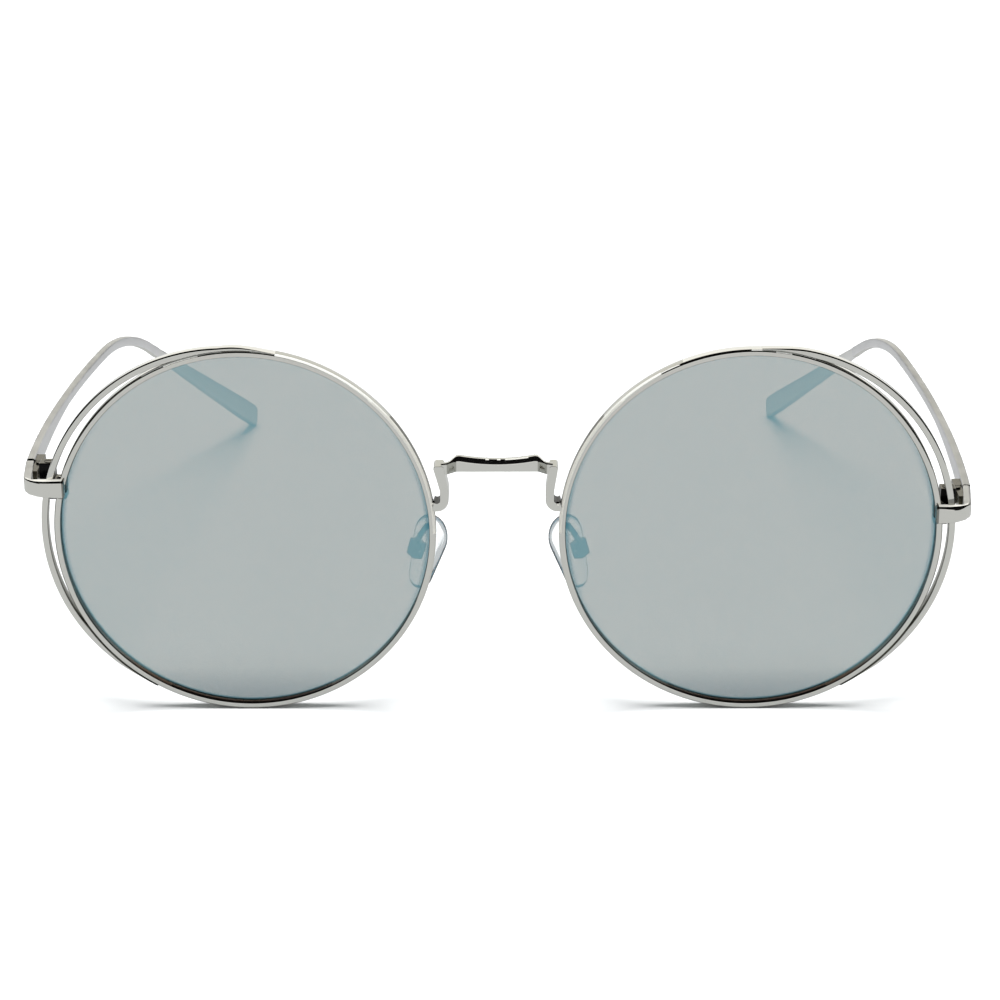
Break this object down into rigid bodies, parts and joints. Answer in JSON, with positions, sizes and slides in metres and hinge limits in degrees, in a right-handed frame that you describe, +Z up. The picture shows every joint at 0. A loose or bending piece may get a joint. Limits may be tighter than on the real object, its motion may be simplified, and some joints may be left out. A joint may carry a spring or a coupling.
{
  "type": "round metal sunglasses",
  "caption": "Round thin-rim metal sunglasses with a crescent of wire outside each rim, mirror lenses, folding temples, a raised strip bridge and swivelling clear nose pads.",
  "frame": {"origin": "centre of the bottom of the box round everything with the temples open; the rims and both tips stand on Z = 0", "axes": "+Z up, -Y is the way the lenses face, +X is to the right as seen from the front; the open temples run towards +Y"},
  "size_m": [0.1464, 0.1454, 0.0584],
  "materials": {
    "polished_silver": "polished silver-coloured plating",
    "satin_silver": "smooth satin silver-coloured plating",
    "hinge_metal": "milled silver-coloured metal",
    "screw_steel": "bright steel",
    "mirror_lens": "smooth, with a light grey-blue mirror coat",
    "clear_silicone": "clear and smooth"
  },
  "bodies": {
    "front": {"bridge": "polished_silver", "left_rim": "polished_silver", "right_rim": "polished_silver", "left_lens": "mirror_lens", "right_lens": "mirror_lens", "left_outer_wire_upper": "polished_silver", "right_outer_wire_upper": "polished_silver", "left_outer_wire_lower": "polished_silver", "right_outer_wire_lower": "polished_silver", "left_endpiece": "polished_silver", "right_endpiece": "polished_silver", "left_rim_lock_upper": "hinge_metal", "right_rim_lock_upper": "hinge_metal", "left_rim_lock_lower": "hinge_metal", "right_rim_lock_lower": "hinge_metal", "left_rim_lock_screw": "screw_steel", "right_rim_lock_screw": "screw_steel", "left_hinge_front": "hinge_metal", "right_hinge_front": "hinge_metal", "left_hinge_screw": "screw_steel", "right_hinge_screw": "screw_steel", "left_pad_arm": "polished_silver", "right_pad_arm": "polished_silver", "left_pad_box": "polished_silver", "right_pad_box": "polished_silver", "left_pad_screw": "screw_steel", "right_pad_screw": "screw_steel"},
    "left_arm": {"left_hinge_temple": "hinge_metal", "left_temple": "satin_silver", "left_temple_tip": "satin_silver"},
    "left_pad": {"left_nose_pad": "clear_silicone"},
    "right_arm": {"right_hinge_temple": "hinge_metal", "right_temple": "satin_silver", "right_temple_tip": "satin_silver"},
    "right_pad": {"right_nose_pad": "clear_silicone"}
  },
  "joints": [
    {"name": "left_temple_hinge", "type": "hinge", "parent": "front", "child": "left_arm", "pos_m": [-0.07034, -0.06215, 0.0362], "axis": [0, 0, -1], "range_deg": [0, 81]},
    {"name": "right_temple_hinge", "type": "hinge", "parent": "front", "child": "right_arm", "pos_m": [0.07034, -0.06215, 0.0319], "axis": [0, 0, 1], "range_deg": [0, 84]},
    {"name": "left_pad_pivot", "type": "hinge", "parent": "front", "child": "left_pad", "pos_m": [-0.0126, -0.06555, 0.0244], "axis": [-0.554, 0.8192, 0.1485], "range_deg": [-10, 10]},
    {"name": "right_pad_pivot", "type": "hinge", "parent": "front", "child": "right_pad", "pos_m": [0.0126, -0.06555, 0.0244], "axis": [0.554, 0.8192, 0.1485], "range_deg": [-10, 10]}
  ]
}
